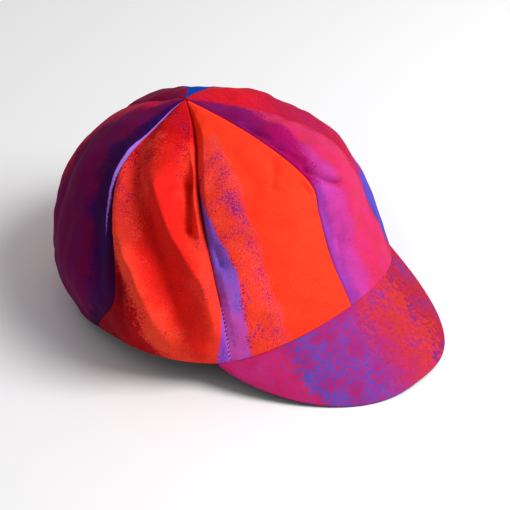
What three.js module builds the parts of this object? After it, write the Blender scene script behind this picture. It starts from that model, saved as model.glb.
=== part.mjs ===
// A soft cycling cap: a crown of six sewn panels, a short arched peak and a sweatband inside the rim.
// Millimetres, +Z up. The front of the cap faces -Y and +X is the wearer's left. The cap stands on
// the back of its rim and on the edge of its peak, and the origin lies under the middle of its box.

import * as THREE from "three";

const { clamp, degToRad, lerp, smoothstep } = THREE.MathUtils;

// Driving sizes of the crown
const crownHeight = 120;
const crownClimb = 150; // length of cloth from the rim to the apex
const cloth = 1.4; // wall of a panel
const sewnGap = 0.3; // between pieces that are sewn together
const tipRise = 0.99; // where the panels' tips end, as a share of the quarter turn to the apex
const panelRows = 22; // rows of faces up every panel, so that neighbours share their seams
const puffCurve = 0.8; // under 1 the panels' puff is fuller near the rim
const seamHold = 0.07; // beside the seams the folds fade out, as a share across the panel
const rimHold = 0.3; // above the rim the folds fade in, as a share of the climb

// The plain dome at even steps of that quarter turn, from the rim up to the apex. Each row holds how
// far the section reaches to the front, the back and the wearer's right and left from its own middle,
// how far that middle is set back, and where the seams of the side panels cross it, in degrees from
// the front. The soft crown has slumped a little to its right, which bends the rear seam there.
const crownSections = [
  { front: 90, back: 104, right: 93, left: 93, setBack: 0, frontSeam: 48, rearRight: 104, rearLeft: 100 },
  { front: 77, back: 110, right: 96, left: 85, setBack: 1, frontSeam: 44, rearRight: 90, rearLeft: 99 },
  { front: 77, back: 96, right: 77, left: 74, setBack: 8, frontSeam: 50, rearRight: 96, rearLeft: 101 },
  { front: 75, back: 67, right: 56, left: 52, setBack: 13, frontSeam: 58, rearRight: 107, rearLeft: 106 },
  { front: 44, back: 26, right: 28, left: 26, setBack: 20, frontSeam: 61, rearRight: 113, rearLeft: 113 },
  { front: 0, back: 0, right: 0, left: 0, setBack: 31, frontSeam: 58, rearRight: 118, rearLeft: 118 },
];

// Driving sizes of the peak
const peakAngle = 52; // from the front to the corner where the peak leaves the rim, in degrees
const peakTip = 139; // from the middle of the rim forwards to the middle of the peak's edge
const peakPoint = 1.5; // 1 draws the edge as half an ellipse, and more draws it in beside the corners
const peakBlunt = 0.83; // 1 draws its middle as an ellipse's, and less makes it blunter
const peakSlope = 0.54; // fall for each millimetre forwards
const peakArch = 84; // radius of the arch across the peak
const peakThickness = 2.2;
const peakEdge = 1; // thickness of the stitched outer edge
const edgeStart = 0.85; // where the peak starts to thin, as a share of the way out
const peakColumns = 28;
const peakRows = 6;

// Driving sizes of the rim and the sweatband
const fallAngle = 92; // from here the rim falls towards the surface, in degrees from the front
const restAngle = 140; // and from here to the back it lies on it
const bandThickness = 1.2;
const bandRise = 0.14; // top of the band, as a share of the quarter turn
const bandSlack = 3; // room between the top of the band and the crown, for the crown's folds
const gatherDepth = 0.8; // ripples that the elastic makes at the back of the rim
const gatherCount = 19; // ripples in a whole turn
const gatherStart = 110; // degrees from the front where they begin, with their full depth at the next
const gatherFull = 125;
const gatherRise = 0.12; // how far up they reach, as a share of the quarter turn
const bandColumns = 64;
const bandRows = 3;

// The panels in their order round the crown, with the seams that bound them.
const panels = [
  { name: "front_left", from: "centreFront", to: "frontLeft", columns: 12, puff: 2.5, colour: 0xb32a72 },
  { name: "side_left", from: "frontLeft", to: "rearLeft", columns: 12, puff: 4, colour: 0xc8182a },
  { name: "rear_left", from: "rearLeft", to: "backLeft", columns: 12, puff: 4, colour: 0x7a1550 },
  { name: "rear_right", from: "backRight", to: "rearRight", columns: 12, puff: 4, colour: 0x4a0f4a },
  { name: "side_right", from: "rearRight", to: "frontRight", columns: 24, puff: 5, colour: 0xe0202a },
  { name: "front_right", from: "frontRight", to: "centreFront", columns: 12, puff: 3.5, colour: 0xff4a28 },
];

// Folds and dents of the panels. Each runs straight from a first place to a second one, given as
// shares of the way across its panel, from its first seam to its second, and of the climb to the
// apex. Depth and width are in millimetres, and a ridge has a negative depth.
const folds = [
  { panel: "side_right", across: [0.35, 0.52], rise: [0.62, 0.56], depth: 3, width: 6 },
  { panel: "side_right", across: [0.52, 0.69], rise: [0.56, 0.39], depth: 5, width: 8 },
  { panel: "side_right", across: [0.69, 0.74], rise: [0.39, 0.12], depth: 5, width: 8 },
  { panel: "side_right", across: [0.8, 0.83], rise: [0.39, 0.12], depth: 2, width: 6 },
  { panel: "side_right", across: [0.29, 0.55], rise: [0.27, 0.09], depth: 3, width: 7 },
  { panel: "side_right", across: [0.05, 0.22], rise: [0.2, 0.07], depth: 3, width: 5 },
  { panel: "side_right", across: [0.9, 0.85], rise: [0.66, 0.5], depth: 3.5, width: 6 },
  { panel: "side_right", across: [0.74, 0.9], rise: [0.63, 0.68], depth: 2, width: 6 },
  { panel: "side_right", across: [0.29, 0.62], rise: [0.42, 0.08], depth: -2, width: 7 },
  { panel: "side_right", across: [0.95, 0.92], rise: [0.47, 0.08], depth: -2, width: 6 },
  { panel: "front_right", across: [0.05, 0.05], rise: [0.88, 0.6], depth: 3, width: 4 },
  { panel: "front_right", across: [0.05, 0.05], rise: [0.4, 0.12], depth: 2, width: 4 },
  { panel: "front_right", across: [0.9, 0.68], rise: [0.72, 0.64], depth: 1.5, width: 5 },
  { panel: "front_left", across: [0.08, 0.27], rise: [0.64, 0.52], depth: 3, width: 4.5 },
  { panel: "front_left", across: [0.22, 0.26], rise: [0.7, 0.64], depth: 1.5, width: 4 },
  { panel: "front_left", across: [0.1, 0.04], rise: [0.27, 0.1], depth: 3, width: 5 },
  { panel: "front_left", across: [0.35, 0.16], rise: [0.42, 0.29], depth: -1.2, width: 8 },
  { panel: "rear_right", across: [0.87, 0.92], rise: [0.5, 0.22], depth: 2.5, width: 7 },
  { panel: "rear_right", across: [0.45, 0.52], rise: [0.6, 0.25], depth: 2, width: 12 },
  { panel: "rear_left", across: [0.5, 0.42], rise: [0.6, 0.2], depth: 2, width: 12 },
  { panel: "side_left", across: [0.5, 0.56], rise: [0.55, 0.2], depth: 2.5, width: 10 },
];

// Smooth value of one column of the sections at a share of the climb.
function section(column, rise) {
  const last = crownSections.length - 1;
  const place = clamp(rise, 0, 1) * last;
  const row = Math.min(Math.floor(place), last - 1);
  const value = (index) => crownSections[clamp(index, 0, last)][column];
  const [before, low, high, after] = [-1, 0, 1, 2].map((step) => value(row + step));
  const t = place - row;
  const lowSlope = row === 0 ? high - low : (high - before) / 2;
  const highSlope = row === last - 1 ? high - low : (after - low) / 2;
  return (
    low * (1 - 3 * t ** 2 + 2 * t ** 3) +
    high * (3 * t ** 2 - 2 * t ** 3) +
    lowSlope * (t - 2 * t ** 2 + t ** 3) +
    highSlope * (t ** 3 - t ** 2)
  );
}

// How far the peak's top surface lies below the middle of its root.
function peakDrop(x, y) {
  return peakSlope * (-y - crownSections[0].front) + x ** 2 / (2 * peakArch);
}

// The rim in plan at a distance inside the crown's outer face.
function rimPlan(azimuth, inset) {
  const angle = degToRad(azimuth);
  const { front, back, right, left } = crownSections[0];
  const reach = Math.cos(angle) > 0 ? front : back;
  const side = azimuth < 0 ? right : left;
  const outward = new THREE.Vector2(Math.sin(angle) / side, -Math.cos(angle) / reach).normalize();
  const place = new THREE.Vector2(side * Math.sin(angle), -reach * Math.cos(angle));
  return place.addScaledVector(outward, -inset);
}

// The peak's outer edge in plan, for a turn of -90 to 90 degrees between its two corners.
function peakOutline(turn) {
  const corner = rimPlan(peakAngle, 0);
  const angle = degToRad(turn);
  const reach = (peakTip + corner.y) * Math.cos(angle) ** peakPoint;
  const side = corner.x * Math.sign(turn) * Math.abs(Math.sin(angle)) ** peakBlunt;
  return new THREE.Vector2(side, corner.y - reach);
}

// The root lies so high that the lowest place of the edge's underside touches the surface.
const edgeDrops = Array.from({ length: 91 }, (_, turn) => peakDrop(...peakOutline(turn)));
const peakRoot = Math.max(...edgeDrops) + (peakThickness + peakEdge) / 2;

function peakHeight(x, y) {
  return peakRoot - peakDrop(x, y);
}

// The rim sits on the peak in front, keeps its height beside it and falls to the surface at the back.
function rimPoint(azimuth, inset) {
  const plan = rimPlan(azimuth, inset);
  const root = rimPlan(clamp(azimuth, -peakAngle, peakAngle), inset);
  const ease = 1 - smoothstep(Math.abs(azimuth), fallAngle, restAngle);
  return new THREE.Vector3(plan.x, plan.y, (peakHeight(root.x, root.y) + sewnGap) * ease);
}

// The plain dome, without the puff and the folds of its panels.
function domePoint(azimuth, rise) {
  const angle = degToRad(azimuth);
  const reach = section(Math.cos(angle) > 0 ? "front" : "back", rise);
  const lift = Math.sin((rise * Math.PI) / 2);
  const height = lerp(rimPoint(azimuth, 0).z, crownHeight, lift);
  const x = section(Math.sin(angle) < 0 ? "right" : "left", rise) * Math.sin(angle);
  const y = section("setBack", rise) - reach * Math.cos(angle);
  return new THREE.Vector3(x, y, height);
}

function domeNormal(azimuth, rise) {
  const step = 0.002;
  const round = domePoint(azimuth + 180 * step, rise).sub(domePoint(azimuth - 180 * step, rise));
  const above = domePoint(azimuth, Math.min(rise + step, 1));
  const up = above.sub(domePoint(azimuth, Math.max(rise - step, 0)));
  return round.cross(up).normalize();
}

// Ripples at the back of the rim, which the crown and the band share.
function gathers(azimuth, rise) {
  const round = smoothstep(Math.abs(azimuth), gatherStart, gatherFull);
  const up = 1 - smoothstep(rise, 0, gatherRise);
  return (gatherDepth / 2) * round * up * (Math.cos(degToRad(azimuth * gatherCount)) - 1);
}

const seams = {
  centreFront: () => 0,
  frontLeft: (rise) => section("frontSeam", rise),
  rearLeft: (rise) => section("rearLeft", rise),
  backLeft: () => 180,
  backRight: () => -180,
  rearRight: (rise) => -section("rearRight", rise),
  frontRight: (rise) => -section("frontSeam", rise),
};

// Length on the dome of one degree round the crown.
function degreeLength(azimuth, rise) {
  return domePoint(azimuth + 0.5, rise).distanceTo(domePoint(azimuth - 0.5, rise));
}

function panelAzimuth(panel, across, rise) {
  const from = seams[panel.from](rise);
  const to = seams[panel.to](rise);
  const fromGap = sewnGap / 2 / degreeLength(from, rise);
  const toGap = sewnGap / 2 / degreeLength(to, rise);
  return lerp(from + fromGap, to - toGap, across);
}

// Depth of one fold at a place on its panel, with a round trough about the fold's line.
function foldDepth(fold, width, across, rise) {
  const [fromAcross, toAcross] = fold.across;
  const [fromRise, toRise] = fold.rise;
  const line = new THREE.Vector2((toAcross - fromAcross) * width, (toRise - fromRise) * crownClimb);
  const place = new THREE.Vector2((across - fromAcross) * width, (rise - fromRise) * crownClimb);
  const share = clamp(place.dot(line) / line.lengthSq(), 0, 1);
  const distance = place.addScaledVector(line, -share).length();
  return fold.depth * Math.exp(-((distance / fold.width) ** 2));
}

// How far a panel stands out from the plain dome: its puff less its folds, nothing at its seams.
function panelRelief(panel, across, rise) {
  const from = seams[panel.from](rise);
  const to = seams[panel.to](rise);
  const width = (to - from) * degreeLength((from + to) / 2, rise);
  const hold = smoothstep(Math.min(across, 1 - across), 0, seamHold) * smoothstep(rise, 0, rimHold);
  const puff = panel.puff * (1 - (2 * across - 1) ** 2) * Math.sin(Math.PI * rise ** puffCurve) ** puffCurve;
  const depth = folds
    .filter((fold) => fold.panel === panel.name)
    .reduce((sum, fold) => sum + foldDepth(fold, width, across, rise), 0);
  return puff - depth * hold;
}

// A point of the crown's cloth, at a depth inside its outer face.
function clothPoint(azimuth, rise, relief, inset) {
  if (rise === 0) return rimPoint(azimuth, inset - gathers(azimuth, 0));
  const out = relief + gathers(azimuth, rise) - inset;
  return domePoint(azimuth, rise).addScaledVector(domeNormal(azimuth, rise), out);
}

// A closed slab between two faces, each given as a function of the share along and the share across.
function slabGeometry(columns, rows, outer, inner) {
  const positions = [];
  const index = [];
  for (const face of [outer, inner])
    for (let row = 0; row <= rows; row++)
      for (let column = 0; column <= columns; column++)
        positions.push(...face(column / columns, row / rows).toArray());
  const width = columns + 1;
  const inside = width * (rows + 1);
  const quad = (a, b, c, d) => index.push(a, b, d, b, c, d);
  for (let row = 0; row < rows; row++)
    for (let column = 0; column < columns; column++) {
      const corner = row * width + column;
      quad(corner, corner + 1, corner + width + 1, corner + width);
      quad(inside + corner, inside + corner + width, inside + corner + width + 1, inside + corner + 1);
    }
  for (let column = 0; column < columns; column++) {
    const top = rows * width + column;
    quad(column, inside + column, inside + column + 1, column + 1);
    quad(top, top + 1, inside + top + 1, inside + top);
  }
  for (let row = 0; row < rows; row++) {
    const first = row * width;
    const last = first + columns;
    quad(first, first + width, inside + first + width, inside + first);
    quad(last, inside + last, inside + last + width, last + width);
  }
  const geometry = new THREE.BufferGeometry();
  geometry.setAttribute("position", new THREE.Float32BufferAttribute(positions, 3));
  geometry.setIndex(index);
  geometry.computeVertexNormals();
  return geometry;
}

function clothMesh(name, geometry, colour) {
  const material = new THREE.MeshStandardMaterial({ color: colour, roughness: 0.9, metalness: 0 });
  const mesh = new THREE.Mesh(geometry, material);
  mesh.name = name;
  return mesh;
}

function crownPanel(panel) {
  const face = (inset) => (across, climb) => {
    const rise = climb * tipRise;
    return clothPoint(panelAzimuth(panel, across, rise), rise, panelRelief(panel, across, rise), inset);
  };
  const geometry = slabGeometry(panel.columns, panelRows, face(0), face(cloth));
  return clothMesh(`${panel.name}_panel`, geometry, panel.colour);
}

// The peak runs from under the rim, where its root is sewn in, out to its stitched edge.
function peak() {
  const rootInset = cloth + sewnGap + bandThickness;
  const face = (underside) => (along, outwards) => {
    const turn = lerp(-1, 1, along);
    const root = rimPlan(turn * peakAngle, rootInset);
    const place = root.lerp(peakOutline(turn * 90), outwards);
    const thinning = (smoothstep(outwards, edgeStart, 1) * (peakThickness - peakEdge)) / 2;
    const below = underside ? peakThickness - thinning : thinning;
    return new THREE.Vector3(place.x, place.y, peakHeight(place.x, place.y) - below);
  };
  return clothMesh("peak", slabGeometry(peakColumns, peakRows, face(true), face(false)), 0xa02a78);
}

// The sweatband stands inside the rim, with its two ends facing each other at the back.
function sweatband() {
  const face = (depth) => (along, climb) => {
    const rise = climb * bandRise;
    const halfGap = sewnGap / 2 / degreeLength(180, rise);
    const azimuth = lerp(-180 + halfGap, 180 - halfGap, along);
    return clothPoint(azimuth, rise, 0, cloth + sewnGap + bandSlack * climb + depth);
  };
  const geometry = slabGeometry(bandColumns, bandRows, face(0), face(bandThickness));
  return clothMesh("sweatband", geometry, 0x2a1030);
}

const cap = new THREE.Group();
panels.forEach((panel) => cap.add(crownPanel(panel)));
cap.add(peak(), sweatband());

const box = new THREE.Box3().setFromObject(cap);
cap.position.set(-(box.min.x + box.max.x) / 2, -(box.min.y + box.max.y) / 2, -box.min.z);

export default cap;
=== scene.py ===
"""A soft cotton cycling cap: a printed crown of six sewn panels, a short arched peak and a sweatband.
Lengths are worked out in millimetres, as a hatter would, and turned to metres as each piece is made."""

import bpy
import numpy as np
from mathutils import Matrix, Vector


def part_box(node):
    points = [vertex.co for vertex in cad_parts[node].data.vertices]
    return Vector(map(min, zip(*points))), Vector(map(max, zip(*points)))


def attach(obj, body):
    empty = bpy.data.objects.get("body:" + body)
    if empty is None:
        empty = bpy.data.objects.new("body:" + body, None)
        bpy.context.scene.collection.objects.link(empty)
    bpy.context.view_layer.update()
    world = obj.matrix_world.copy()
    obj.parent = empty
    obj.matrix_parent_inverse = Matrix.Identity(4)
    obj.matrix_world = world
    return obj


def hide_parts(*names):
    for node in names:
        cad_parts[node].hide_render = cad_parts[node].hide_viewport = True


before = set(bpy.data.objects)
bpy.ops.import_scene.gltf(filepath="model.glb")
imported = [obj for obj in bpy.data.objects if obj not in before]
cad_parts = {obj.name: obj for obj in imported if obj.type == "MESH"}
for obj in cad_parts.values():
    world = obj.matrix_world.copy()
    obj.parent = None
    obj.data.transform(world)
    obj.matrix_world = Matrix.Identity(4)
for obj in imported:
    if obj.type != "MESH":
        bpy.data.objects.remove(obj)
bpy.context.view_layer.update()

# Camera
# It looks at the wearer's right and at the front from above, through a long lens with a slight roll.
# The lengths of this section and the next are in metres.
CAMERA_AZIMUTH, CAMERA_RISE, CAMERA_ROLL = np.radians([-44.5, 35.7, -4.2])
CAMERA_DISTANCE = 1.15
CAMERA_AIM = (0.0, 0.0, 0.05)
AIM_RIGHT, AIM_DOWN = 0.00397, 0.01446  # from the middle of the cap to the middle of the picture
CAMERA_LENS = 140.9  # millimetres, on a sensor 36 mm wide


def direction(azimuth, rise):
    """The way to an azimuth from the front and a rise above the floor: the sine and minus the cosine
    of the azimuth, each times the cosine of the rise, and the sine of the rise."""
    return Vector((np.sin(azimuth) * np.cos(rise), -np.cos(azimuth) * np.cos(rise), np.sin(rise)))


away = direction(CAMERA_AZIMUTH, CAMERA_RISE)
level = Vector((np.cos(CAMERA_AZIMUTH), np.sin(CAMERA_AZIMUTH), 0.0))
upright = away.cross(level)
right = level * np.cos(CAMERA_ROLL) + upright * np.sin(CAMERA_ROLL)
up = upright * np.cos(CAMERA_ROLL) - level * np.sin(CAMERA_ROLL)
eye = Vector(CAMERA_AIM) + right * AIM_RIGHT - up * AIM_DOWN + away * CAMERA_DISTANCE
camera = bpy.data.objects.new("camera", bpy.data.cameras.new("camera"))
camera.data.lens = CAMERA_LENS
camera.matrix_world = Matrix.Translation(eye) @ Matrix((right, up, away)).transposed().to_4x4()
bpy.context.scene.collection.objects.link(camera)
bpy.context.scene.camera = camera

# Floor and light
# A pale painted floor, and the light of a studio: a lamp high to the right of the camera, whose
# slanting light brings out the folds, and white walls all round.
FLOOR_HALF = 3.0
FLOOR_WHITE = "#F1F1F2"
PAINT_ROUGHNESS = 0.85
WALL_WHITE = "#FFFFFF"
WALL_STRENGTH = 0.36
LAMP_AZIMUTH, LAMP_RISE = np.radians([26, 44])
LAMP_DISTANCE, LAMP_WIDTH = 1.3, 0.7
LAMP_POWER = 12.0  # watts


def linear(hex_colour):
    """The linear RGBA of an sRGB hex colour: each channel is ((c + 0.055) / 1.055) to the power
    2.4, or c / 12.92 where it is dark."""
    channels = np.array([int(hex_colour[i : i + 2], 16) for i in (1, 3, 5)]) / 255
    bright = ((channels + 0.055) / 1.055) ** 2.4
    return (*np.where(channels > 0.04045, bright, channels / 12.92).tolist(), 1.0)


def add_node(finish, kind, inputs=(), **settings):
    """Adds a node to a finish. Inputs holds a value for a socket, or the node or output feeding it.
    Some sockets go by number: a Map Range turns 0 from between 1 and 2 to between 3 and 4, a colour
    Mix takes its share at 0 and its colours at 6 and 7, and a Math node its numbers from 0 on."""
    node = finish.node_tree.nodes.new("ShaderNode" + kind)
    for name, value in settings.items():
        setattr(node, name, value)
    for socket, value in dict(inputs).items():
        if isinstance(value, bpy.types.Node):
            value = next(output for output in value.outputs if output.enabled)
        if isinstance(value, bpy.types.NodeSocket):
            finish.node_tree.links.new(value, node.inputs[socket])
        else:
            node.inputs[socket].default_value = value
    return node


def new_finish(name):
    """A material of its own nodes alone."""
    finish = bpy.data.materials.new(name)
    finish.use_nodes = True
    finish.node_tree.nodes.clear()
    return finish


floor_mesh = bpy.data.meshes.new("floor")
floor_mesh.from_pydata(
    [(x * FLOOR_HALF, y * FLOOR_HALF, 0) for x, y in ((-1, -1), (1, -1), (1, 1), (-1, 1))],
    [],
    [(0, 1, 2, 3)],
)
# Matt white wall paint, rolled on: it takes a soft shadow and gives back no reflection.
paint = new_finish("matt_white_paint")
paint_shader = add_node(
    paint, "BsdfPrincipled", {"Base Color": linear(FLOOR_WHITE), "Roughness": PAINT_ROUGHNESS}
)
add_node(paint, "OutputMaterial", {"Surface": paint_shader})
floor_mesh.materials.append(paint)
floor = bpy.data.objects.new("floor", floor_mesh)
bpy.context.scene.collection.objects.link(floor)

to_lamp = direction(LAMP_AZIMUTH, LAMP_RISE)
lamp = bpy.data.objects.new("key_lamp", bpy.data.lights.new("key_lamp", "AREA"))
lamp.data.size = LAMP_WIDTH
lamp.data.energy = LAMP_POWER
lamp.location = Vector(CAMERA_AIM) + to_lamp * LAMP_DISTANCE
lamp.rotation_euler = to_lamp.to_track_quat("Z", "Y").to_euler()
bpy.context.scene.collection.objects.link(lamp)

walls = bpy.data.worlds.new("studio")
walls.use_nodes = True
walls.node_tree.nodes["Background"].inputs["Color"].default_value = linear(WALL_WHITE)
walls.node_tree.nodes["Background"].inputs["Strength"].default_value = WALL_STRENGTH
bpy.context.scene.world = walls
bpy.context.scene.view_settings.view_transform = "Standard"
bpy.context.scene.view_settings.look = "High Contrast"

# Crown
# The dome that the six panels are sewn to: rows of its sections from the rim to the apex, at even
# steps of a quarter turn. Each gives how far it reaches to the front, the back and the wearer's
# right and left from its own middle, how far that middle is set back, and where the seams of the
# side panels cross it, in degrees from the front.
METRE = 1000.0  # millimetres in a metre
CROWN_HEIGHT = 120.0
CROWN_CLIMB = 150.0  # length of cloth from the rim to the apex
CROWN_SECTIONS = {
    "front": (90, 77, 77, 75, 44, 0),
    "back": (104, 110, 96, 67, 26, 0),
    "right": (93, 96, 77, 56, 28, 0),
    "left": (93, 85, 74, 52, 26, 0),
    "set back": (0, 1, 8, 13, 20, 31),
    "front right seam": (48, 44, 51, 61, 64, 58),
    "front left seam": (48, 44, 50, 58, 61, 58),
    "rear right seam": (104, 90, 96, 107, 113, 118),
    "rear left seam": (100, 99, 101, 107, 130, 140),
}
PEAK_ANGLE = 52.0  # from the front to the corner where the peak leaves the rim, in degrees
PEAK_TIP = 139.0  # from the middle of the rim forwards to the middle of the peak's edge
PEAK_POINT = 1.5  # 1 draws the edge as half an ellipse, and more draws it in beside the corners
PEAK_BLUNT = 0.83  # 1 draws its middle as an ellipse's, and less makes it blunter
PEAK_SLOPE = 0.54  # fall for each millimetre forwards
PEAK_ARCH = 84.0  # radius of the arch across the peak
PEAK_THICKNESS = 2.2
PEAK_EDGE = 1.0
FALL_ANGLE, REST_ANGLE = 92.0, 140.0  # between these the rim falls to the floor, where it lies
SEWN_GAP = 0.3
GATHER_DEPTH = 0.8  # ripples that the elastic makes at the back of the rim
GATHER_COUNT = 19
GATHER_START, GATHER_FULL = 110.0, 125.0  # degrees from the front where they begin and are deepest
GATHER_RISE = 0.12  # how far up they reach, as a share of the climb
SMALL_STEP = 0.002  # to the places that a normal is worked out from, as a share of the climb
LEVEL_RISE = (-0.01, 0.03)  # between these shares of the climb the normal leaves the level

peak_low, peak_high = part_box("peak")
crown_middle = np.array([(peak_low.x + peak_high.x) / 2 * METRE, peak_low.y * METRE + PEAK_TIP, 0.0])


def smooth(value, start, end):
    """0 before start, 1 after end, and between them 3t squared less 2t cubed."""
    t = np.clip((value - start) / (end - start), 0, 1)
    return t * t * (3 - 2 * t)


def section(column, rise):
    """A column of the sections at a share of the climb: a cubic through the rows, whose slope at a
    row is half the step between its neighbours."""
    values = np.array(CROWN_SECTIONS[column], float)
    last = len(values) - 1
    place = np.clip(rise, 0, 1) * last
    row = np.minimum(place.astype(int), last - 1)
    before, low, high, after = (values[np.clip(row + step, 0, last)] for step in (-1, 0, 1, 2))
    t = place - row
    low_slope = np.where(row == 0, high - low, (high - before) / 2)
    high_slope = np.where(row == last - 1, high - low, (after - low) / 2)
    ends = low * (1 - 3 * t**2 + 2 * t**3) + high * (3 * t**2 - 2 * t**3)
    return ends + low_slope * (t - 2 * t**2 + t**3) + high_slope * (t**3 - t**2)


def rim_plan(azimuth, inset):
    """The rim in plan: a half ellipse to the front and one to the back, moved in along its normal."""
    angle = np.radians(azimuth)
    sides = ("front", "back", "right", "left")
    front, back, right, left = (section(side, np.zeros_like(angle)) for side in sides)
    reach = np.where(np.cos(angle) > 0, front, back)
    side = np.where(azimuth < 0, right, left)
    outward = np.stack([np.sin(angle) / side, -np.cos(angle) / reach], axis=-1)
    outward /= np.linalg.norm(outward, axis=-1, keepdims=True)
    place = np.stack([side * np.sin(angle), -reach * np.cos(angle)], axis=-1)
    return place - outward * np.asarray(inset)[..., None]


def peak_drop(x, y):
    """Fall of the peak's top below the middle of its root: a slope forwards and an arch across."""
    return PEAK_SLOPE * (-y - CROWN_SECTIONS["front"][0]) + x**2 / (2 * PEAK_ARCH)


def peak_outline(turn):
    """The peak's outer edge in plan: half an ellipse between its corners, drawn in beside them by a
    power of the cosine and made blunter by a power of the sine."""
    corner = rim_plan(np.full(np.shape(turn), PEAK_ANGLE), 0.0)
    angle = np.radians(turn)
    reach = (PEAK_TIP + corner[..., 1]) * np.clip(np.cos(angle), 0, 1) ** PEAK_POINT
    side = corner[..., 0] * np.sign(turn) * np.abs(np.sin(angle)) ** PEAK_BLUNT
    return np.stack([side, corner[..., 1] - reach], axis=-1)


edge_drops = peak_drop(*np.moveaxis(peak_outline(np.arange(91.0)), -1, 0))
peak_root = edge_drops.max() + (PEAK_THICKNESS + PEAK_EDGE) / 2


def rim_height(azimuth, inset):
    """Height of the rim: on the peak in front, level beside it, and easing down to the floor behind."""
    root = rim_plan(np.clip(azimuth, -PEAK_ANGLE, PEAK_ANGLE), inset)
    ease = 1 - smooth(np.abs(azimuth), FALL_ANGLE, REST_ANGLE)
    return (peak_root - peak_drop(root[..., 0], root[..., 1]) + SEWN_GAP) * ease


def dome_point(azimuth, rise):
    """The plain dome: the section's reach round the turn, and a height that follows the sine of
    the rise, with the rim's own height fading out as it climbs."""
    azimuth, rise = np.broadcast_arrays(azimuth, rise)
    angle = np.radians(azimuth)
    reach = np.where(np.cos(angle) > 0, section("front", rise), section("back", rise))
    side = np.where(np.sin(angle) < 0, section("right", rise), section("left", rise))
    lift = np.sin(rise * np.pi / 2)
    height = rim_height(azimuth, 0.0) * (1 - lift) + CROWN_HEIGHT * lift
    back = section("set back", rise) - reach * np.cos(angle)
    return np.stack([side * np.sin(angle), back, height], axis=-1)


def dome_normal(azimuth, rise):
    """Outward normal of the dome from small steps round and up, level at the rim itself."""
    aside = 180 * SMALL_STEP
    above, below = np.minimum(rise + SMALL_STEP, 1), np.maximum(rise - SMALL_STEP, 0)
    turn = dome_point(azimuth + aside, rise) - dome_point(azimuth - aside, rise)
    normal = np.cross(turn, dome_point(azimuth, above) - dome_point(azimuth, below))
    normal /= np.linalg.norm(normal, axis=-1, keepdims=True)
    normal[..., 2] *= smooth(np.broadcast_to(rise, normal.shape[:-1]), *LEVEL_RISE)
    return normal / np.linalg.norm(normal, axis=-1, keepdims=True)


def gathers(azimuth, rise):
    """Ripples of the elastic: a cosine round the turn, only at the back and only near the rim."""
    place = smooth(np.abs(azimuth), GATHER_START, GATHER_FULL) * (1 - smooth(rise, 0, GATHER_RISE))
    return GATHER_DEPTH / 2 * place * (np.cos(np.radians(azimuth * GATHER_COUNT)) - 1)


def cloth_point(azimuth, rise, out):
    """A point of cloth that stands out from the dome along its normal, in metres in the cap's frame."""
    out = np.asarray(out + gathers(azimuth, rise))[..., None]
    return (dome_point(azimuth, rise) + dome_normal(azimuth, rise) * out + crown_middle) / METRE


# Printed cotton
# A light plain-woven cotton with a dyed print: soft and matt with a faint bloom of fibres, and in
# places the colours break into fine specks where one meets the next. Its colour carries a painted
# shade between the threads and a painted highlight on them.
THREAD = 1.1  # spacing of the threads, drawn about three times as coarse as real ones so they show
THREAD_RELIEF = 0.12
# Painted shade between the threads and painted highlight on them, as shares of the colour.
WEAVE_PAINTED_SHADES = (0.97, 1.03)  # between the threads and on them
SPECK = 0.85  # width of a speck of print
SPECK_BLUR = 0.02  # how softly it fades out, as a step of the noise
HAZE = 14.0  # width of the cloudy patches that the specks gather in
HAZE_PULL = 0.8  # how much those patches gather them
HAZE_SHADES = (0.9, 1.1)  # of worn and of full dye
NOISE_RANGE = (0.3, 0.7)  # where nearly all of a noise lies
NOISE_SPREAD = 0.13  # how far a noise strays from a half
NAP_ROUGHNESS = (0.78, 0.92)  # soft fibres scatter light, so the cloth is matt all over
WAVE_TURN = 2 * np.pi / 20  # a Wave texture of scale 1 repeats after this length


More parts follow.
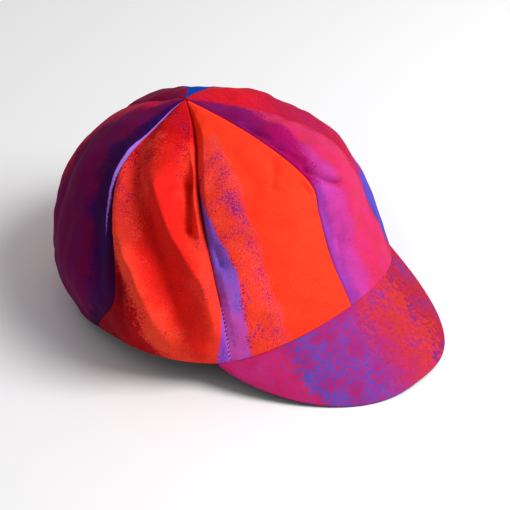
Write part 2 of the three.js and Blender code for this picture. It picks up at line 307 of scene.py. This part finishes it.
def printed_cotton(name, ground, fields, size, reverse, speck_size=SPECK, speck_blur=SPECK_BLUR):
    """A finish for cloth. The ground is painted over by fields, each to the right of a line that
    runs from one place to another, both given as shares of the piece's size. A field's share is a
    smooth step over its blur of the distance from the line plus its spread times the noise. A field
    has its own colour, that of its specks, which show where the noise is over one level, and that of
    its dabs, which show where it is under another."""
    finish = new_finish(name)
    shares = add_node(finish, "UVMap", uv_map="Shares")
    lifted = add_node(finish, "Mapping", {"Vector": shares, "Location": (0.0, 0.0, 1.0)})
    place = add_node(finish, "TexCoord").outputs["Object"]
    speck = add_node(
        finish, "TexNoise", {"Vector": place, "Scale": METRE / speck_size, "Detail": 2.0, "Roughness": 0.7}
    )
    haze = add_node(
        finish, "TexNoise", {"Vector": place, "Scale": METRE / HAZE, "Detail": 3.0, "Roughness": 0.6}
    )
    both = add_node(finish, "Math", {0: speck, 1: haze}, operation="ADD")
    stray = add_node(
        finish, "MapRange", {0: both, 1: 1 - NOISE_SPREAD, 2: 1 + NOISE_SPREAD, 3: -1.0, 4: 1.0}, clamp=False
    )
    clumps = add_node(finish, "Math", {0: haze, 1: HAZE_PULL, 2: speck}, operation="MULTIPLY_ADD")
    colour = None
    for colours, (bare, full), line_start, line_end, spread, blur in [(*ground, None, None, 0, 0), *fields]:
        base, speck_colour, dab_colour = map(linear, colours)
        high, low = full + HAZE_PULL / 2, bare + HAZE_PULL / 2
        specks = add_node(finish, "MapRange", {0: clumps, 1: high - speck_blur, 2: high + speck_blur})
        dabs = add_node(finish, "MapRange", {0: clumps, 1: low + speck_blur, 2: low - speck_blur})
        tint = add_node(finish, "Mix", {0: specks, 6: base, 7: speck_colour}, data_type="RGBA")
        tint = add_node(finish, "Mix", {0: dabs, 6: tint, 7: dab_colour}, data_type="RGBA")
        if colour is None:
            colour = tint
            continue
        start, end = np.array(line_start) * size, np.array(line_end) * size
        run, rise = (end - start) / np.linalg.norm(end - start)
        line = (size[0] * rise, -size[1] * run, start[1] * run - start[0] * rise)
        distance = add_node(finish, "VectorMath", {0: lifted, 1: line}, operation="DOT_PRODUCT")
        distance = distance.outputs["Value"]
        distance = add_node(finish, "Math", {0: stray, 1: spread, 2: distance}, operation="MULTIPLY_ADD")
        share = add_node(
            finish, "MapRange", {0: distance, 1: -blur, 2: blur}, interpolation_type="SMOOTHSTEP"
        )
        colour = add_node(finish, "Mix", {0: share, 6: colour, 7: tint}, data_type="RGBA")
    threads = add_node(finish, "UVMap", uv_map="Threads")
    warp, weft = (
        add_node(
            finish,
            "TexWave",
            {"Vector": threads, "Scale": WAVE_TURN * METRE / THREAD, "Distortion": 0.6, "Detail": 1.0},
            bands_direction=way,
        )
        for way in ("X", "Y")
    )
    weave = add_node(finish, "Math", {0: warp, 1: weft}, operation="MULTIPLY")
    # The weave's painted shade and painted highlight, times the dye's cloudy tone, darken and lighten the
    # colour.
    depth = add_node(finish, "MapRange", {0: weave, 3: WEAVE_PAINTED_SHADES[0], 4: WEAVE_PAINTED_SHADES[1]})
    cloudy = add_node(finish, "MapRange", {0: haze, **dict(enumerate(NOISE_RANGE + HAZE_SHADES, 1))})
    shade = add_node(finish, "Math", {0: depth, 1: cloudy}, operation="MULTIPLY")
    colour = add_node(
        finish, "Mix", {0: 1.0, 6: colour, 7: shade}, data_type="RGBA", blend_type="MULTIPLY"
    )
    inside = add_node(finish, "Attribute", attribute_name="Reverse").outputs["Fac"]
    colour = add_node(finish, "Mix", {0: inside, 6: colour, 7: linear(reverse)}, data_type="RGBA")
    relief = add_node(
        finish, "Bump", {"Height": weave, "Distance": THREAD_RELIEF / METRE, "Strength": 0.4}
    )
    nap = add_node(finish, "MapRange", {0: speck, **dict(enumerate(NOISE_RANGE + NAP_ROUGHNESS, 1))})
    # Dyed cotton scatters light evenly. It has hardly any gloss, and its fibres show as a faint bloom
    # where the cloth turns away.
    shader = add_node(
        finish,
        "BsdfPrincipled",
        {
            "Base Color": colour,
            "Roughness": nap,
            "Normal": relief,
            "Specular IOR Level": 0.2,
            "Sheen Weight": 0.04,
            "Sheen Roughness": 0.4,
        },
    )
    add_node(finish, "OutputMaterial", {"Surface": shader})
    return finish


def cloth_piece(name, outer, inner, shares, threads, finish):
    """A closed mesh of two facing grids, joined by a wall round their border. Each point keeps its
    shares and its place on the flat cloth as UV maps, and the inner grid is marked as the reverse."""
    rows, columns = outer.shape[:2]
    front = np.arange(rows * columns).reshape(rows, columns)
    back = front + rows * columns
    border = np.concatenate([front[0, :-1], front[:-1, -1], front[-1, :0:-1], front[:0:-1, 0]])
    onward = np.roll(border, -1)
    corners = [
        (front[:-1, :-1], front[:-1, 1:], front[1:, 1:], front[1:, :-1]),
        (back[:-1, :-1], back[1:, :-1], back[1:, 1:], back[:-1, 1:]),
        (onward, border, border + rows * columns, onward + rows * columns),
    ]
    faces = np.concatenate([np.stack(corner, axis=-1).reshape(-1, 4) for corner in corners])
    mesh = bpy.data.meshes.new(name)
    mesh.vertices.add(2 * rows * columns)
    mesh.vertices.foreach_set("co", np.concatenate([outer.reshape(-1, 3), inner.reshape(-1, 3)]).ravel())
    mesh.loops.add(faces.size)
    mesh.loops.foreach_set("vertex_index", faces.ravel())
    mesh.polygons.add(len(faces))
    mesh.polygons.foreach_set("loop_start", np.arange(len(faces)) * 4)
    for map_name, values in (("Shares", shares), ("Threads", threads)):
        both_sides = np.tile(values.reshape(-1, 2), (2, 1))
        mesh.uv_layers.new(name=map_name).data.foreach_set("uv", both_sides[faces.ravel()].ravel())
    sides = np.repeat([0.0, 1.0], rows * columns)
    mesh.attributes.new("Reverse", "FLOAT", "POINT").data.foreach_set("value", sides)
    mesh.materials.append(finish)
    mesh.update(calc_edges=True)
    mesh.shade_smooth()
    mesh.validate()
    piece = bpy.data.objects.new(name, mesh)
    bpy.context.scene.collection.objects.link(piece)
    return piece


# Crown panels
# Six panels cut from the printed cotton and sewn edge to edge. Their cloth puffs out between the
# seams, turns in at each of them, and falls in folds where the empty crown has slumped.
CLOTH = 1.4  # wall of a panel
VISIBLE_GAP = 0.01  # between panels that touch
TIP_RISE = 0.9995  # where the panels' tips end, as a share of the climb
PUFF_CURVE = 0.8  # under 1 the panels' puff is fuller near the rim
SEAM_HOLD, RIM_HOLD = 0.07, 0.27  # shares across and up over which the folds fade in
PANEL_ROWS, PANEL_COLUMNS = 128, 120
EVEN_SPACING = 0.1  # how much of the columns' spacing is even, while the rest crowds to the seams
HEM_ROUND = 0.6  # radius of the turned hem
HEM_CLOSING = 0.97  # how far the two sides of the hem draw together
HEM_ROWS = (0, 0.12, 0.3, 0.6, 1.1, 2.0)  # heights of the lowest rows, with the first even one next
FIRST_ROW = 3.0
# Each seam's column of the sections, or its own angle, the side that it is on, and how deep the
# thread draws it in at every section, in millimetres.
PLAIN_DEPTHS = (0.4, 0.9, 1.0, 1.0, 0.8, 0.3)
SEAMS = {
    "centre front": (0, 1, PLAIN_DEPTHS),
    "front left": ("front left seam", 1, PLAIN_DEPTHS),
    "rear left": ("rear left seam", 1, PLAIN_DEPTHS),
    "back left": (180, 1, PLAIN_DEPTHS),
    "back right": (180, -1, PLAIN_DEPTHS),
    "rear right": ("rear right seam", -1, (0.4, 1.2, 1.4, 1.2, 0.8, 0.3)),
    "front right": ("front right seam", -1, (1.0, 2.6, 3.4, 8.5, 9.0, 1.6)),
}
# How a panel's cloth comes down to a seam, and over how many millimetres: a rolled edge keeps its
# height and turns down in a quarter round, and a drawn one slopes down into a hollow.
ROLLED, DRAWN = "rolled", "drawn"
DRAWN_SHARE, DRAWN_ROLL = 0.65, 1.8  # how much of the depth is the slope's, and the turn's own reach
PLAIN_EDGE = (ROLLED, 1.6)
NARROW_WIDTH, NARROWEST = 30.0, 0.05  # an edge's reach shrinks under this width, to this share at least
# Each panel has the seams at its two sides, how its cloth comes down to each of them, how far it
# puffs out, the width of its flat cloth, its slot, its print and the colour of its reverse. A print
# has a ground, with its colours and its levels of dabs and specks, and fields that add two places
# on the line at their left edge, and how far their specks stray and their edge blurs.
# On the red side panel some fields are painted highlights and painted shade, not print.
PANELS = {
    "front_right": dict(
        seams=("front right", "centre front"),
        edges=((DRAWN, 5.2), PLAIN_EDGE),
        puff=3.5,
        width=72,
        slot="orange_cotton",
        ground=(("#C860B4", "#D05CAC", "#9C60B8"), (0.38, 0.6)),
        fields=[
            (("#9C68C8", "#7468C8", "#B060B4"), (0.38, 0.58), (1.0, 0.22), (0.0, 0.22), 6, 12),
            (("#F4503C", "#94387C", "#F86450"), (0.36, 0.59), (0.155, 0.0), (0.18, 0.25), 0.8, 0.5),
            (("#F4503C", "#94387C", "#F86450"), (0.36, 0.59), (0.2, 0.3), (0.0, 0.68), 0.8, 0.5),
            (("#EA5058", "#A03C80", "#F05C44"), (0.42, 0.575), (0.32, 0.0), (0.23, 0.7), 5, 2),
            (("#F84C30", "#F0422E", "#FA5238"), (0.34, 0.62), (0.45, 0.0), (0.37, 0.75), 2.0, 0.6),
            (("#F84C30", "#F0422E", "#FA5238"), (0.34, 0.62), (1.0, 0.86), (0.0, 0.82), 5, 1),
        ],
        reverse="#E8A48C",
    ),
    "side_right": dict(
        seams=("rear right", "front right"),
        edges=(PLAIN_EDGE, (ROLLED, 2.6)),
        puff=5.0,
        width=95,
        slot="red_cotton",
        # The coral ground is partly the print's speckled band along the rear seam and partly a painted
        # highlight on the puffed rear edge.
        ground=(("#EC463C", "#883070", "#F2584A"), (0.4, 0.6)),
        fields=[
            (("#E2302A", "#A81C3C", "#EA3E2E"), (0.36, 0.68), (0.16, 0.1), (0.5, 0.86), 7, 1.5),
            # The next two fields are painted highlights: orange along the ridge beside the front seam, and
            # orange on the low ridge across the lower panel, where the lamp lights the red cloth.
            (("#EC4C38", "#C83840", "#F25C46"), (0.36, 0.66), (0.87, 0.0), (0.84, 0.55), 5, 6),
            (("#F0543C", "#C03C50", "#F2644C"), (0.36, 0.66), (0.1, 0.46), (0.66, 0.12), 5, 6),
            # The next field is painted shade: deep red along the foot of the panel, below the low ridge.
            (("#B40E1C", "#9C1034", "#C0141C"), (0.36, 0.64), (0.12, 0.28), (0.54, 0.03), 4, 3),
            (("#CC1820", "#901C44", "#D82A24"), (0.36, 0.62), (1.0, 0.8), (0.0, 0.68), 6, 8),
            # The next field is painted shade: dark crimson in the low valleys at the rear of the panel's
            # foot.
            (("#9C1028", "#8C1438", "#A81A24"), (0.36, 0.62), (0.0, 0.38), (0.28, 0.02), 4, 5),
            (("#A85CC0", "#8050B8", "#B85CB0"), (0.36, 0.6), (0.92, 0.0), (1.02, 0.27), 0.6, 0.4),
        ],
        reverse="#D88C84",
    ),
    "rear_right": dict(
        seams=("back right", "rear right"),
        edges=(PLAIN_EDGE, (ROLLED, 2.6)),
        puff=4.0,
        width=105,
        slot="plum_cotton",
        ground=(("#BC0C48", "#A80C50", "#C01240"), (0.36, 0.6)),
        fields=[
            (("#7C0A58", "#700C60", "#8A0A4C"), (0.36, 0.6), (0.42, 0.0), (0.3, 0.9), 4, 9),
            (("#481058", "#3C1468", "#520C54"), (0.36, 0.6), (0.93, 0.1), (0.76, 0.75), 3, 6),
            (("#B88CE8", "#AC80E0", "#BC90E8"), (0.36, 0.6), (0.974, 0.0), (0.96, 0.95), 0.2, 0.4),
            (("#541054", "#481458", "#5C0C4C"), (0.36, 0.6), (0.95, 0.2), (0.99, 0.55), 0.3, 0.6),
        ],
        reverse="#A07898",
    ),
    "rear_left": dict(
        seams=("rear left", "back left"),
        edges=(PLAIN_EDGE, PLAIN_EDGE),
        puff=4.0,
        width=105,
        slot="wine_cotton",
        ground=(("#860A5C", "#780C60", "#900C50"), (0.36, 0.6)),
        fields=[
            (("#A81044", "#9C0E50", "#B01840"), (0.36, 0.6), (0.62, 0.0), (0.5, 0.9), 5, 6),
            (("#0C48A8", "#1A44A4", "#1050B0"), (0.36, 0.6), (1.0, 0.6), (0.0, 0.6), 3, 2),
            (("#90084C", "#820854", "#980A48"), (0.36, 0.6), (0.95, 0.02), (0.345, 0.9), 0.4, 0.4),
        ],
        reverse="#A07898",
    ),
    "side_left": dict(
        seams=("front left", "rear left"),
        edges=(PLAIN_EDGE, PLAIN_EDGE),
        puff=4.0,
        width=88,
        slot="crimson_cotton",
        ground=(("#B02450", "#982060", "#BC2840"), (0.36, 0.6)),
        fields=[
            (("#D02434", "#A82054", "#DC3A2C"), (0.36, 0.6), (1.0, 0.66), (0.0, 0.74), 5, 8),
            (("#5A50B0", "#7048A8", "#4854B0"), (0.4, 0.6), (0.0, 0.31), (1.0, 0.28), 5, 3),
            (("#0C48A8", "#2A44A4", "#1054B0"), (0.36, 0.6), (0.45, 0.2), (1.0, 0.72), 5, 2),
        ],
        reverse="#C08C9C",
    ),
    "front_left": dict(
        seams=("centre front", "front left"),
        edges=(PLAIN_EDGE, PLAIN_EDGE),
        puff=2.5,
        width=72,
        slot="magenta_cotton",
        ground=(("#9C449C", "#8446A6", "#A83E90"), (0.36, 0.6)),
        fields=[
            (("#BC4898", "#AC48A0", "#C4408C"), (0.36, 0.6), (0.1, 0.0), (0.1, 0.65), 2, 4),
            (("#C83A68", "#BC3476", "#D0405E"), (0.36, 0.6), (0.26, 0.0), (0.34, 0.6), 3, 6),
            (("#A8126A", "#981670", "#B41864"), (0.36, 0.6), (0.63, 0.79), (0.1, 0.6), 3, 6),
            (("#8C1868", "#801A6E", "#98145C"), (0.36, 0.6), (1.0, 0.84), (0.0, 0.78), 5, 7),
            (("#BC1E4A", "#B0205C", "#C42044"), (0.36, 0.6), (0.84, 0.0), (0.92, 1.0), 4, 6),
        ],
        reverse="#D89CB4",
    ),
}
# Folds and dents: a panel, the places that one runs through, as shares across it and up the climb,
# and its depth and width in millimetres. A ridge has a negative depth.
FOLDS = [
    ("side_right", ((0.19, 0.63), (0.31, 0.57), (0.42, 0.5), (0.54, 0.34), (0.62, 0.2), (0.66, 0.1)), 10, 9),
    ("side_right", ((0.6, 0.6), (0.7, 0.48), (0.79, 0.39), (0.9, 0.3), (0.92, 0.13)), -5, 6.5),
    ("side_right", ((0.22, 0.34), (0.28, 0.31), (0.41, 0.21), (0.62, 0.07)), -5, 6),
    ("side_right", ((0.02, 0.28), (0.07, 0.21), (0.23, 0.1)), 4, 6),
    ("side_right", ((0.09, 0.6), (0.11, 0.4), (0.19, 0.35)), -2, 6),
    ("side_right", ((0.89, 0.66), (0.89, 0.58), (0.84, 0.48)), 10, 4.6),
    ("side_right", ((0.95, 0.62), (0.97, 0.38)), -1.5, 4),
    ("side_right", ((0.7, 0.62), (0.95, 0.7)), 4, 4.5),
    ("front_right", ((0.82, 0.71), (0.64, 0.63)), 2.6, 3.4),
    ("front_right", ((0.79, 0.63), (0.91, 0.6), (0.93, 0.55)), 2.2, 3),
    ("front_right", ((0.76, 0.57), (0.74, 0.4)), -1.2, 6),
    ("front_right", ((0.45, 0.76), (0.5, 0.66)), 1.0, 5),
    ("front_right", ((0.06, 0.42), (0.07, 0.36)), 2.5, 2.5),
    ("front_left", ((0.07, 0.64), (0.21, 0.54), (0.32, 0.48)), 4, 2.4),
    ("front_left", ((0.14, 0.69), (0.26, 0.59), (0.38, 0.52)), -1.5, 3.2),
    ("front_left", ((0.15, 0.89), (0.36, 0.84), (0.63, 0.79), (0.95, 0.71)), 1.5, 2.4),
    ("front_left", ((0.3, 0.8), (0.6, 0.75), (0.8, 0.7)), -1.0, 3),
    ("front_left", ((0.12, 0.83), (0.15, 0.79)), 1.6, 2.4),
    ("front_left", ((0.08, 0.76), (0.08, 0.7)), 1.2, 2.6),
    ("front_left", ((0.22, 0.7), (0.27, 0.64)), 1.5, 4),
    ("front_left", ((0.14, 0.24), (0.05, 0.1)), 3, 4.5),
    ("front_left", ((0.42, 0.4), (0.24, 0.24)), -1.2, 8),
    ("rear_right", ((0.87, 0.5), (0.92, 0.22)), 2.5, 7),
    ("rear_right", ((0.45, 0.6), (0.52, 0.25)), 2, 12),
    ("rear_left", ((0.5, 0.6), (0.42, 0.2)), 2, 12),
    ("side_left", ((0.5, 0.55), (0.56, 0.2)), 2.5, 10),
]
FOLD_ROUND = 1.45  # 1 creases a fold sharply, and 2 rounds it like a bell
WRINKLE_COUNT = 26
WRINKLE_STEEPNESS = 0.006  # depth of each single wave, as a share of its length
WRINKLE_LENGTHS = (9.0, 38.0)
WRINKLE_HOLD = 4.0  # they fade out this near to a seam
WRINKLE_START = 0.08  # and this near to the rim, as a share of the climb
PUCKER_DEPTH, PUCKER_LENGTH, PUCKER_REACH = 0.22, 6.5, 8.0
PUCKER_SWAY, PUCKER_TURNS = 2.0, 23.0  # make the puckers uneven, by a sine up the seam
PUCKER_START = (0.05, 0.15)  # shares of the climb over which they fade in

chance = np.random.default_rng(7)
wrinkle_ways = chance.normal(size=(WRINKLE_COUNT, 3))
wrinkle_ways /= np.linalg.norm(wrinkle_ways, axis=1, keepdims=True)
wrinkle_lengths = np.geomspace(*WRINKLE_LENGTHS, WRINKLE_COUNT)
wrinkle_starts = chance.uniform(0, 2 * np.pi, WRINKLE_COUNT)


def seam_azimuth(seam, rise):
    """Where a seam crosses a section, in degrees from the front."""
    place, side, _ = SEAMS[seam]
    return side * (section(place, rise) if isinstance(place, str) else np.full_like(rise, place))


def degree_length(azimuth, rise):
    """Length on the dome of one degree round the crown."""
    return np.linalg.norm(dome_point(azimuth + 0.5, rise) - dome_point(azimuth - 0.5, rise), axis=-1)


def wrinkles(place):
    """Small unevenness of soft cloth: a sum of waves in set directions, the long ones deepest."""
    total = np.zeros(place.shape[:-1])
    for way, length, start in zip(wrinkle_ways, wrinkle_lengths, wrinkle_starts):
        total += WRINKLE_STEEPNESS * length * np.sin(place @ way * 2 * np.pi / length + start)
    return total


def fold_depth(fold, width, across, rise):
    """Depth of a fold: e to minus a power of the distance from the nearest stretch of its line, as
    a share of its width."""
    _, line, depth, reach = fold
    distance = np.full(across.shape, np.inf)
    for (from_across, from_rise), (to_across, to_rise) in zip(line, line[1:]):
        line_across, line_up = (to_across - from_across) * width, (to_rise - from_rise) * CROWN_CLIMB
        place_across, place_up = (across - from_across) * width, (rise - from_rise) * CROWN_CLIMB
        along = (place_across * line_across + place_up * line_up) / (line_across**2 + line_up**2)
        along = np.clip(along, 0, 1)
        away = np.hypot(place_across - along * line_across, place_up - along * line_up)
        distance = np.minimum(distance, away)
    return depth * np.exp(-((distance / reach) ** FOLD_ROUND))


def edge_sink(seam, edge, distance, width, rise):
    """How far cloth sinks beside a seam: the seam's depth, times a quarter circle's fall over the
    edge's reach, which shrinks where the panel narrows to its tip. A drawn edge takes a smooth step
    over that reach for its first part, and a quarter circle at the seam for the rest."""
    shape, reach = edge
    depths = SEAMS[seam][2]
    depth = np.interp(rise, np.linspace(0, 1, len(depths)), depths)
    narrow = np.clip(width / NARROW_WIDTH, NARROWEST, 1)
    share = np.clip(1 - distance / (reach * narrow), 0, 1)
    if shape == ROLLED:
        return depth * (1 - np.sqrt(1 - share**2))
    turn_in = np.clip(1 - distance / (DRAWN_ROLL * narrow), 0, 1)
    return depth * (DRAWN_SHARE * smooth(share, 0, 1) + (1 - DRAWN_SHARE) * (1 - np.sqrt(1 - turn_in**2)))


def crown_panel(name, panel):
    """A panel between its seams. It stands out from the dome by a puff, a parabola across times a
    power of a sine up, less its folds and its sunk edges, and its two sides draw together in a
    quarter circle at the hem."""
    columns = np.linspace(0, 1, PANEL_COLUMNS + 1)
    across = EVEN_SPACING * columns + (1 - EVEN_SPACING) * (1 - np.cos(np.pi * columns)) / 2
    even_rows = np.linspace(FIRST_ROW / CROWN_CLIMB, TIP_RISE, PANEL_ROWS)
    rise = np.concatenate([np.array(HEM_ROWS) / CROWN_CLIMB, even_rows])
    across, rise = np.meshgrid(across, rise)
    start, end = (seam_azimuth(seam, rise) for seam in panel["seams"])
    width = (end - start) * degree_length((start + end) / 2, rise)
    start = start + VISIBLE_GAP / 2 / degree_length(start, rise)
    end = end - VISIBLE_GAP / 2 / degree_length(end, rise)
    azimuth = start + (end - start) * across
    puff = panel["puff"] * (1 - (2 * across - 1) ** 2) * np.sin(np.pi * rise**PUFF_CURVE) ** PUFF_CURVE
    hold = smooth(np.minimum(across, 1 - across), 0, SEAM_HOLD) * smooth(rise, 0, RIM_HOLD)
    folds = sum(fold_depth(fold, width, across, rise) for fold in FOLDS if fold[0] == name)
    edges = sum(
        edge_sink(seam, edge, distance, width, rise)
        for seam, edge, distance in zip(
            panel["seams"], panel["edges"], (across * width, (1 - across) * width)
        )
    )
    seam_distance = np.minimum(across, 1 - across) * width
    sway = PUCKER_SWAY * np.sin(rise * PUCKER_TURNS + start[0, 0])
    pucker = PUCKER_DEPTH * np.sin(2 * np.pi * rise * CROWN_CLIMB / PUCKER_LENGTH + sway)
    pucker = pucker * np.exp(-seam_distance / PUCKER_REACH) * smooth(rise, *PUCKER_START)
    fine = wrinkles(dome_point(azimuth, rise)) + pucker
    fine = fine * smooth(seam_distance, 0, WRINKLE_HOLD) * smooth(rise, 0, WRINKLE_START)
    relief = puff - folds * hold - edges + fine
    hem = HEM_CLOSING * np.clip(1 - rise * CROWN_CLIMB / HEM_ROUND, 0, 1)
    hem = HEM_ROUND * (1 - np.sqrt(1 - hem**2))
    outer = cloth_point(azimuth, rise, relief - hem)
    inner = cloth_point(azimuth, rise, relief - CLOTH + hem)
    shares = np.stack([across, rise], axis=-1)
    threads = np.stack([(across - 0.5) * width, rise * CROWN_CLIMB], axis=-1) / METRE
    finish = printed_cotton(
        name + "_printed_cotton",
        panel["ground"],
        panel["fields"],
        (panel["width"], CROWN_CLIMB),
        panel["reverse"],
    )
    piece = cloth_piece(name + "_cloth", outer, inner, shares, threads, finish)
    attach(piece, "root")
    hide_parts(name + "_panel")


for name, panel in PANELS.items():
    crown_panel(name, panel)

# Peak
# A thin stiffener between two layers of cotton, arched across and sewn in under the front of the
# rim. The print runs over its top, and the underside is plain dark cotton.
BAND_THICKNESS = 1.2  # of the sweatband, which the peak's root stops behind
EDGE_START = 0.85  # where the peak starts to thin, as a share of the way out
PEAK_COLUMNS = 150
PEAK_ROWS, LAST_EVEN_ROW = 60, 0.98
EDGE_ROWS = (0.988, 0.993, 0.997, 0.999, 1)  # the rows round its outer edge, as shares of the way out
PEAK_ROUND = 0.9  # how far in from the outer edge the two layers draw together
PEAK_CLOSING = 0.48  # how far each draws in, as a share of the edge's thickness
PEAK_SIZE = (150, 60)  # of the flat piece, across and forwards
PEAK_REVERSE = "#3A0E36"
PEAK_SPECK, PEAK_SPECK_BLUR = 2.2, 0.09  # its specks are larger and softer than the crown's
PEAK_GROUND = (("#BC3878", "#B43E84", "#C43470"), (0.4, 0.6))
PEAK_FIELDS = [
    (("#8A489E", "#605CB2", "#B03880"), (0.44, 0.56), (0.2, 0.0), (0.28, 1.0), 2.5, 0.6),
    (("#94449A", "#6858AC", "#B43878"), (0.45, 0.58), (0.36, 0.0), (0.38, 1.0), 14, 4),
    (("#BE3A54", "#983C80", "#C4463E"), (0.44, 0.6), (0.5, 0.0), (0.47, 1.0), 6, 1),
    (("#AC2C52", "#7C3A80", "#B43448"), (0.44, 0.59), (0.74, 0.0), (0.59, 1.0), 5, 1),
]

# The grid runs from the root, just inside the sweatband, straight out to the outline. The top and
# the underside thin by a smooth step, and close in a quarter circle at the edge.
along, outwards = np.meshgrid(
    np.linspace(-1, 1, PEAK_COLUMNS + 1),
    np.concatenate([np.linspace(0, LAST_EVEN_ROW, PEAK_ROWS), EDGE_ROWS]),
)
root = rim_plan(along * PEAK_ANGLE, CLOTH + SEWN_GAP + BAND_THICKNESS)
outline = peak_outline(along * 90)
plan = root + (outline - root) * outwards[..., None]
top = peak_root - peak_drop(plan[..., 0], plan[..., 1])
thinning = smooth(outwards, EDGE_START, 1) * (PEAK_THICKNESS - PEAK_EDGE) / 2
to_edge = (1 - outwards) * np.linalg.norm(outline - root, axis=-1)
rounding = 1 - np.sqrt(1 - np.clip(1 - to_edge / PEAK_ROUND, 0, 1) ** 2)
closing = PEAK_CLOSING * PEAK_EDGE * rounding
upper = np.concatenate([plan, (top - thinning - closing)[..., None]], axis=-1)
under = np.concatenate([plan, (top - PEAK_THICKNESS + thinning + closing)[..., None]], axis=-1)
peak_shares = np.stack([(along + 1) / 2, outwards], axis=-1)
peak_piece = cloth_piece(
    "peak_cloth",
    (upper[:, ::-1] + crown_middle) / METRE,
    (under[:, ::-1] + crown_middle) / METRE,
    peak_shares[:, ::-1],
    plan[:, ::-1] / METRE,
    printed_cotton(
        "peak_printed_cotton",
        PEAK_GROUND,
        PEAK_FIELDS,
        PEAK_SIZE,
        PEAK_REVERSE,
        PEAK_SPECK,
        PEAK_SPECK_BLUR,
    ),
)
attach(peak_piece, "root")
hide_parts("peak")

# Seam stitches
# A short run of pale thread at the foot of the front seam on the wearer's right, which holds its
# turned edges flat. Each stitch crosses the seam on a slant and lies in a low arch on the cloth.
STITCH_COUNT = 13
STITCH_RISES = (0.015, 0.2)  # of the lowest and the highest stitch
STITCH_LENGTH, STITCH_SLANT = 2.0, 1.1
STITCH_RADIUS, STITCH_LIFT = 0.24, 0.45
STITCH_CLIMB = 0.45  # how far out of the seam its ends stand, as a share of the seam's depth
STITCH_TAPER = 0.98  # 1 draws its ends in to a point
STITCH_STEPS, STITCH_SIDES = 8, 6
THREAD_COLOUR = "#DCC6DC"
THREAD_ROUGHNESS = (0.42, 0.6)
TWIST, TWIST_RELIEF = 0.5, 0.05  # spacing and depth of its twisted strands

number = np.arange(STITCH_COUNT)[:, None, None]
step = np.linspace(-1, 1, STITCH_STEPS + 1)[None, :, None]
side = 2 * np.pi * np.arange(STITCH_SIDES)[None, None, :] / STITCH_SIDES
stitch_rise = np.interp(number, (0, STITCH_COUNT - 1), STITCH_RISES)
_, _, seam_depths = SEAMS["front right"]
stitch_depth = np.interp(stitch_rise, np.linspace(0, 1, len(seam_depths)), seam_depths)
thickness = STITCH_RADIUS * np.sqrt(1 - STITCH_TAPER * step**2)
round_rise = stitch_rise + (step * STITCH_SLANT / 2 + thickness * np.sin(side)) / CROWN_CLIMB
seam = seam_azimuth("front right", stitch_rise)
round_azimuth = seam + step * STITCH_LENGTH / 2 / degree_length(seam, stitch_rise)
foot = -stitch_depth * (1 - np.abs(step) * STITCH_CLIMB)
arch = foot + STITCH_LIFT * (1 - step**2)
rings = cloth_point(round_azimuth, round_rise, arch + thickness * np.cos(side))
rings = rings.reshape(-1, STITCH_SIDES, 3)
ring = np.arange(len(rings) * STITCH_SIDES).reshape(STITCH_COUNT, STITCH_STEPS + 1, STITCH_SIDES)
turned = np.roll(ring, -1, axis=2)
walls = np.stack([ring[:, :-1], ring[:, 1:], turned[:, 1:], turned[:, :-1]], axis=-1).reshape(-1, 4)
ends = [*ring[:, 0].tolist(), *ring[:, -1, ::-1].tolist()]
stitch_mesh = bpy.data.meshes.new("seam_stitches")
stitch_mesh.from_pydata(rings.reshape(-1, 3).tolist(), [], [*walls.tolist(), *ends])
stitch_mesh.shade_smooth()
# Spun polyester sewing thread, twisted from strands: smoother than the cotton, so it glints a little.
thread = new_finish("polyester_sewing_thread")
twist = add_node(
    thread,
    "TexWave",
    {"Vector": add_node(thread, "TexCoord").outputs["Object"], "Scale": WAVE_TURN * METRE / TWIST},
    bands_direction="DIAGONAL",
)
sheen = add_node(thread, "MapRange", {0: twist, 3: THREAD_ROUGHNESS[0], 4: THREAD_ROUGHNESS[1]})
strand = add_node(thread, "Bump", {"Height": twist, "Distance": TWIST_RELIEF / METRE})
thread_shader = add_node(
    thread,
    "BsdfPrincipled",
    {"Base Color": linear(THREAD_COLOUR), "Roughness": sheen, "Normal": strand},
)
add_node(thread, "OutputMaterial", {"Surface": thread_shader})
stitch_mesh.materials.append(thread)
stitches = bpy.data.objects.new("seam_stitches", stitch_mesh)
bpy.context.scene.collection.objects.link(stitches)
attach(stitches, "root")

# Sweatband
# A plain dark cotton band sewn to the inside of the rim, whose two ends meet at the back. It leans
# in as it climbs.
BAND_RISE = 0.14  # top of the band, as a share of the climb
BAND_SLACK = 3.0  # room between the top of the band and the crown, for the crown's folds
BAND_SIZE = (580, 21)  # of the flat band
BAND_ROWS, BAND_COLUMNS = 24, 420
BAND_COLOUR = "#2A1030"
BAND_GROUND = ([BAND_COLOUR] * 3, (0.36, 0.6))

climb = np.linspace(0, 1, BAND_ROWS + 1)[:, None]
turn = np.linspace(0, 1, BAND_COLUMNS + 1)[None, :]
band_rise = np.broadcast_to(climb * BAND_RISE, (BAND_ROWS + 1, BAND_COLUMNS + 1))
half_gap = SEWN_GAP / 2 / degree_length(np.full(band_rise.shape, 180.0), band_rise)
band_azimuth = (half_gap - 180) + (360 - 2 * half_gap) * turn
inset = CLOTH + SEWN_GAP + BAND_SLACK * climb
band_shares = np.stack(np.broadcast_arrays(turn, climb), axis=-1)
band = cloth_piece(
    "sweatband_cloth",
    cloth_point(band_azimuth, band_rise, -inset),
    cloth_point(band_azimuth, band_rise, -inset - BAND_THICKNESS),
    band_shares,
    band_shares * BAND_SIZE / METRE,
    printed_cotton("sweatband_cotton", BAND_GROUND, [], BAND_SIZE, BAND_COLOUR),
)
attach(band, "root")
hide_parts("sweatband")
